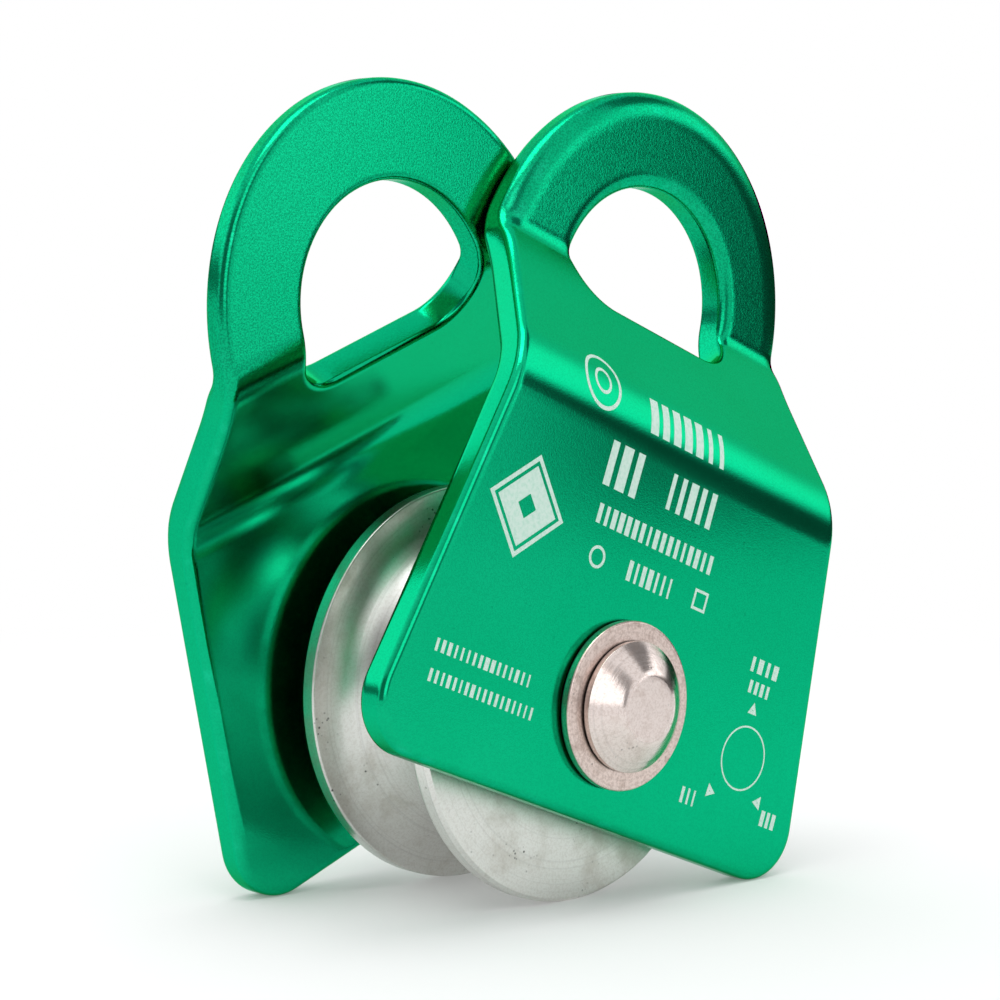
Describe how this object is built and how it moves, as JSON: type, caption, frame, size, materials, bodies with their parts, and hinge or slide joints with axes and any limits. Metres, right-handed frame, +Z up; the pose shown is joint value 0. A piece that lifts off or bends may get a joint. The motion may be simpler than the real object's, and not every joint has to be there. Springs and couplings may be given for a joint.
{
  "type": "rope pulley",
  "caption": "Small swing-cheek rope pulley: grooved sheave on a shielded ball bearing between two bent sheet cheeks whose eyes take a carabiner.",
  "frame": {"origin": "on the surface the pulley stands on, under the middle of the axle, which is the centre of the box's base", "axes": "+Z up, Y along the axle with the front cheek on the -Y side, X across the pulley in the plane the sheave turns in. At rest the cheeks stand 21.32 degrees to each side of upright. Both cheek joints at -21.32 degrees bring the eyes into line."},
  "size_m": [0.0722, 0.038, 0.0797],
  "materials": {
    "cheek": "green anodised over a fine bead-blasted surface, satin",
    "sheave": "bare, fine turned",
    "axle_steel": "plated, fine turned, slightly warm",
    "bearing_steel": "ground and polished",
    "cage_brass": "machined",
    "spring_steel": "phosphated, matt"
  },
  "bodies": {
    "axle": {"axle_rivet": "axle_steel", "front_outer_washer": "axle_steel", "rear_outer_washer": "axle_steel", "front_spacer_sleeve": "axle_steel", "rear_spacer_sleeve": "axle_steel", "bearing_inner_race": "bearing_steel"},
    "front_cheek": {"front_cheek_plate": "cheek"},
    "rear_cheek": {"rear_cheek_plate": "cheek"},
    "sheave_wheel": {"sheave": "sheave", "bearing_outer_race": "bearing_steel", "front_bearing_shield": "bearing_steel", "rear_bearing_shield": "bearing_steel", "bearing_retaining_ring": "spring_steel"},
    "ball_train": {"bearing_cage": "cage_brass", "bearing_ball_1": "bearing_steel", "bearing_ball_2": "bearing_steel", "bearing_ball_3": "bearing_steel", "bearing_ball_4": "bearing_steel", "bearing_ball_5": "bearing_steel", "bearing_ball_6": "bearing_steel", "bearing_ball_7": "bearing_steel", "bearing_ball_8": "bearing_steel", "bearing_ball_9": "bearing_steel"}
  },
  "joints": [
    {"name": "front_cheek_swing", "type": "hinge", "parent": "axle", "child": "front_cheek", "pos_m": [0, 0, 0.02], "axis": [0, 1, 0], "continuous": true},
    {"name": "rear_cheek_swing", "type": "hinge", "parent": "axle", "child": "rear_cheek", "pos_m": [0, 0, 0.02], "axis": [0, -1, 0], "continuous": true},
    {"name": "sheave_spin", "type": "hinge", "parent": "axle", "child": "sheave_wheel", "pos_m": [0, 0, 0.02], "axis": [0, 1, 0], "continuous": true},
    {"name": "ball_train_orbit", "type": "hinge", "parent": "axle", "child": "ball_train", "pos_m": [0, 0, 0.02], "axis": [0, 1, 0], "continuous": true}
  ],
  "couplings": [
    {"joint": "ball_train_orbit", "follows": "sheave_spin", "ratio": 0.59669}
  ]
}
